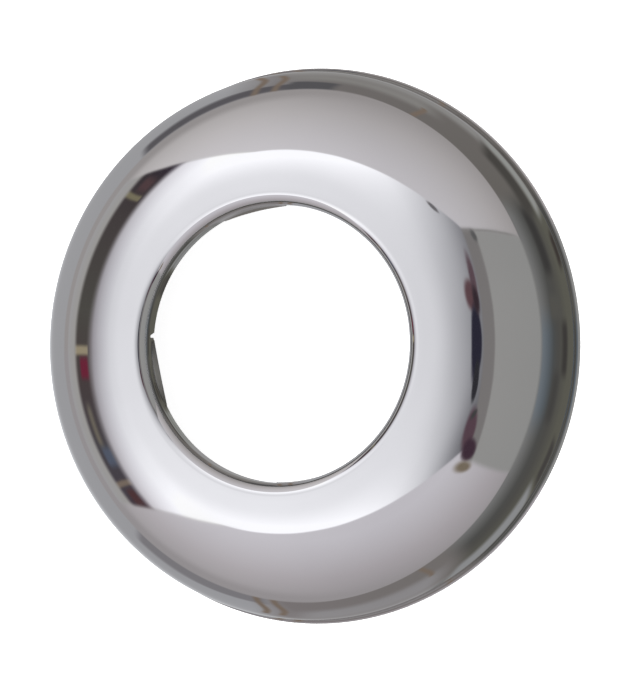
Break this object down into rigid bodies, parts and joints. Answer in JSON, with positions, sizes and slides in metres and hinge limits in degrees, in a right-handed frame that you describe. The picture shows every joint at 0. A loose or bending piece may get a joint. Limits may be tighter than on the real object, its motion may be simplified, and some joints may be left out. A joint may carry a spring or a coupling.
{
  "type": "tap rosette",
  "caption": "Domed chrome-plated sheet ring that covers the hole in the wall round a tap's union, with a rolled bore lip, a short collar with pressed grip lugs and a small turned-out foot.",
  "frame": {"origin": "centre of the foot ring, in the plane that lies against the wall", "axes": "+Z along the axis from the wall to the lip; the four lugs lie on the X and Y axes"},
  "size_m": [0.065, 0.065, 0.0128],
  "materials": {
    "chrome_plate": "mirror polished"
  },
  "bodies": {
    "root": {"tap_rosette": "chrome_plate"}
  },
  "joints": []
}
